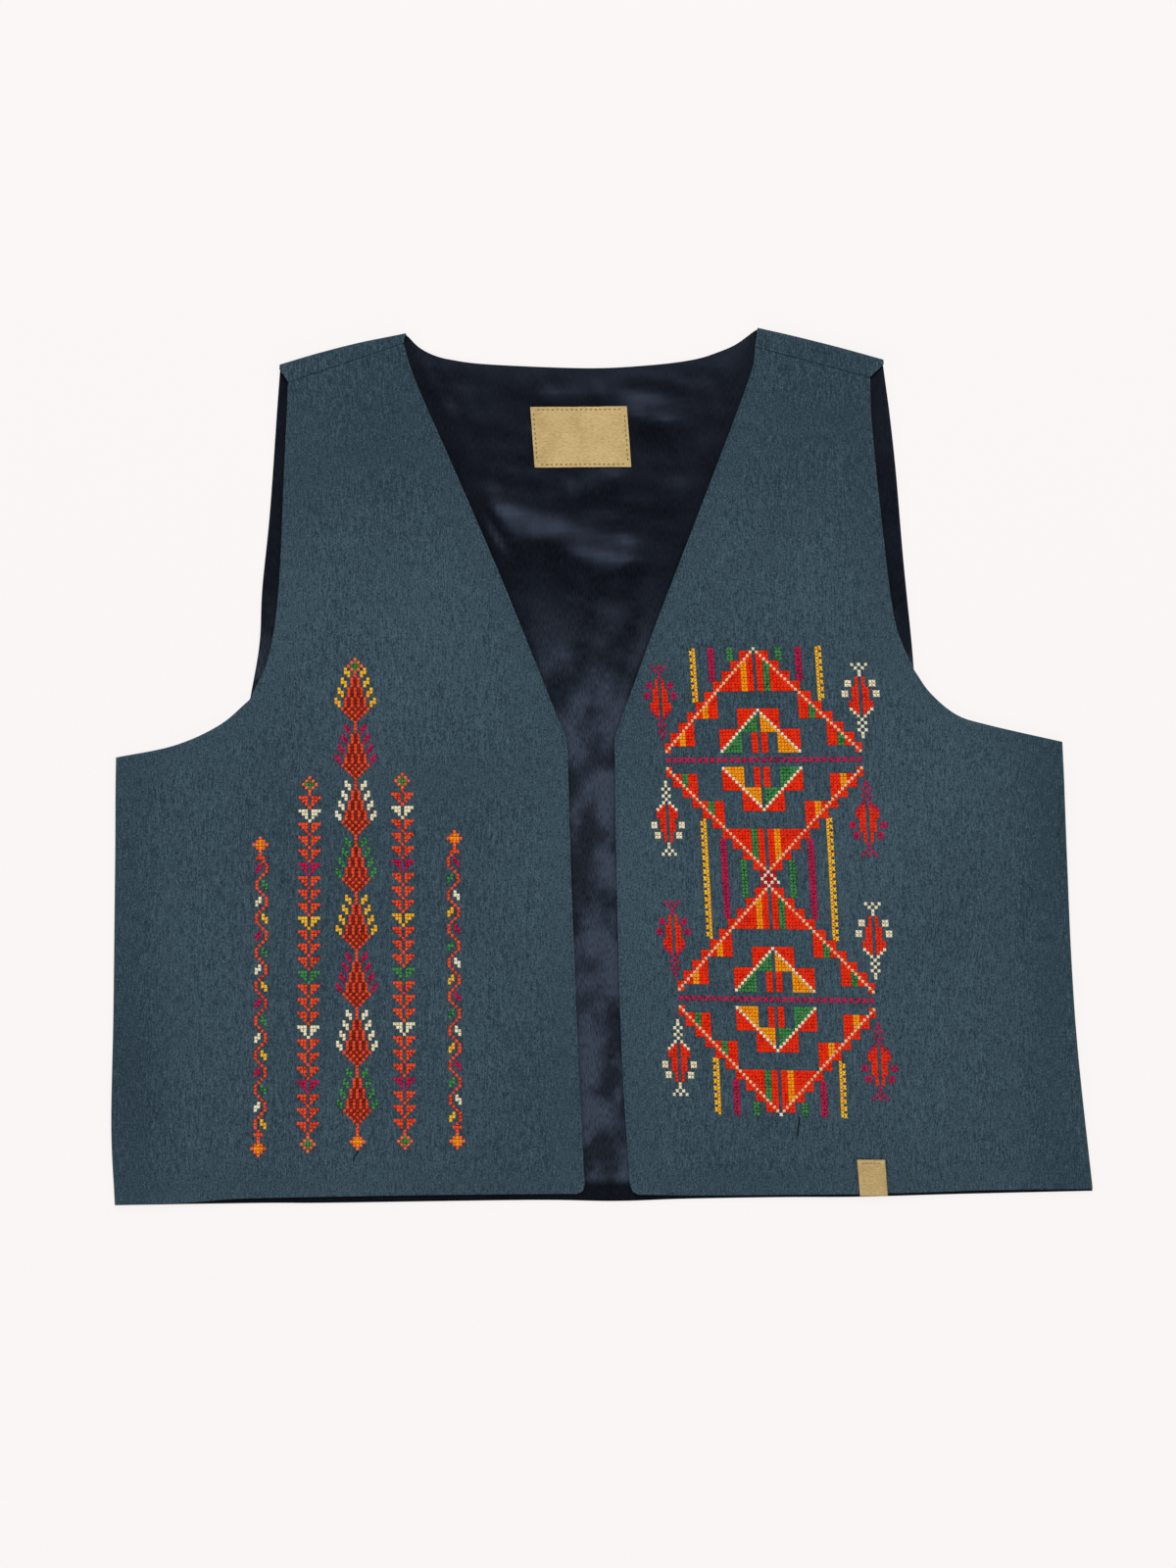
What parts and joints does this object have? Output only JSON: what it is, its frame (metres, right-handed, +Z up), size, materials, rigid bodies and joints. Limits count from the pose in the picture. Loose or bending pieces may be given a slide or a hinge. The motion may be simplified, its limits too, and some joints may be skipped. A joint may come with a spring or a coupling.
{
  "type": "embroidered folk vest",
  "caption": "Short open sleeveless vest with embroidered fronts, laid flat on its back with the fronts closed over the lined back.",
  "frame": {"origin": "centre of the bounding box at the flat underside, which lies on the surface", "axes": "+Z up out of the surface towards the embroidered fronts, +Y towards the neck, +X towards the wearer's left side"},
  "size_m": [0.5552, 0.4965, 0.0079],
  "materials": {
    "teal_cloth": "matt woven chambray",
    "navy_satin": "soft satin lining",
    "cotton_tape": "plain woven tape"
  },
  "bodies": {
    "root": {"back_panel": "teal_cloth", "back_lining": "navy_satin", "front_right": "teal_cloth", "front_left": "teal_cloth", "neck_label": "cotton_tape", "hem_tab": "cotton_tape"}
  },
  "joints": []
}
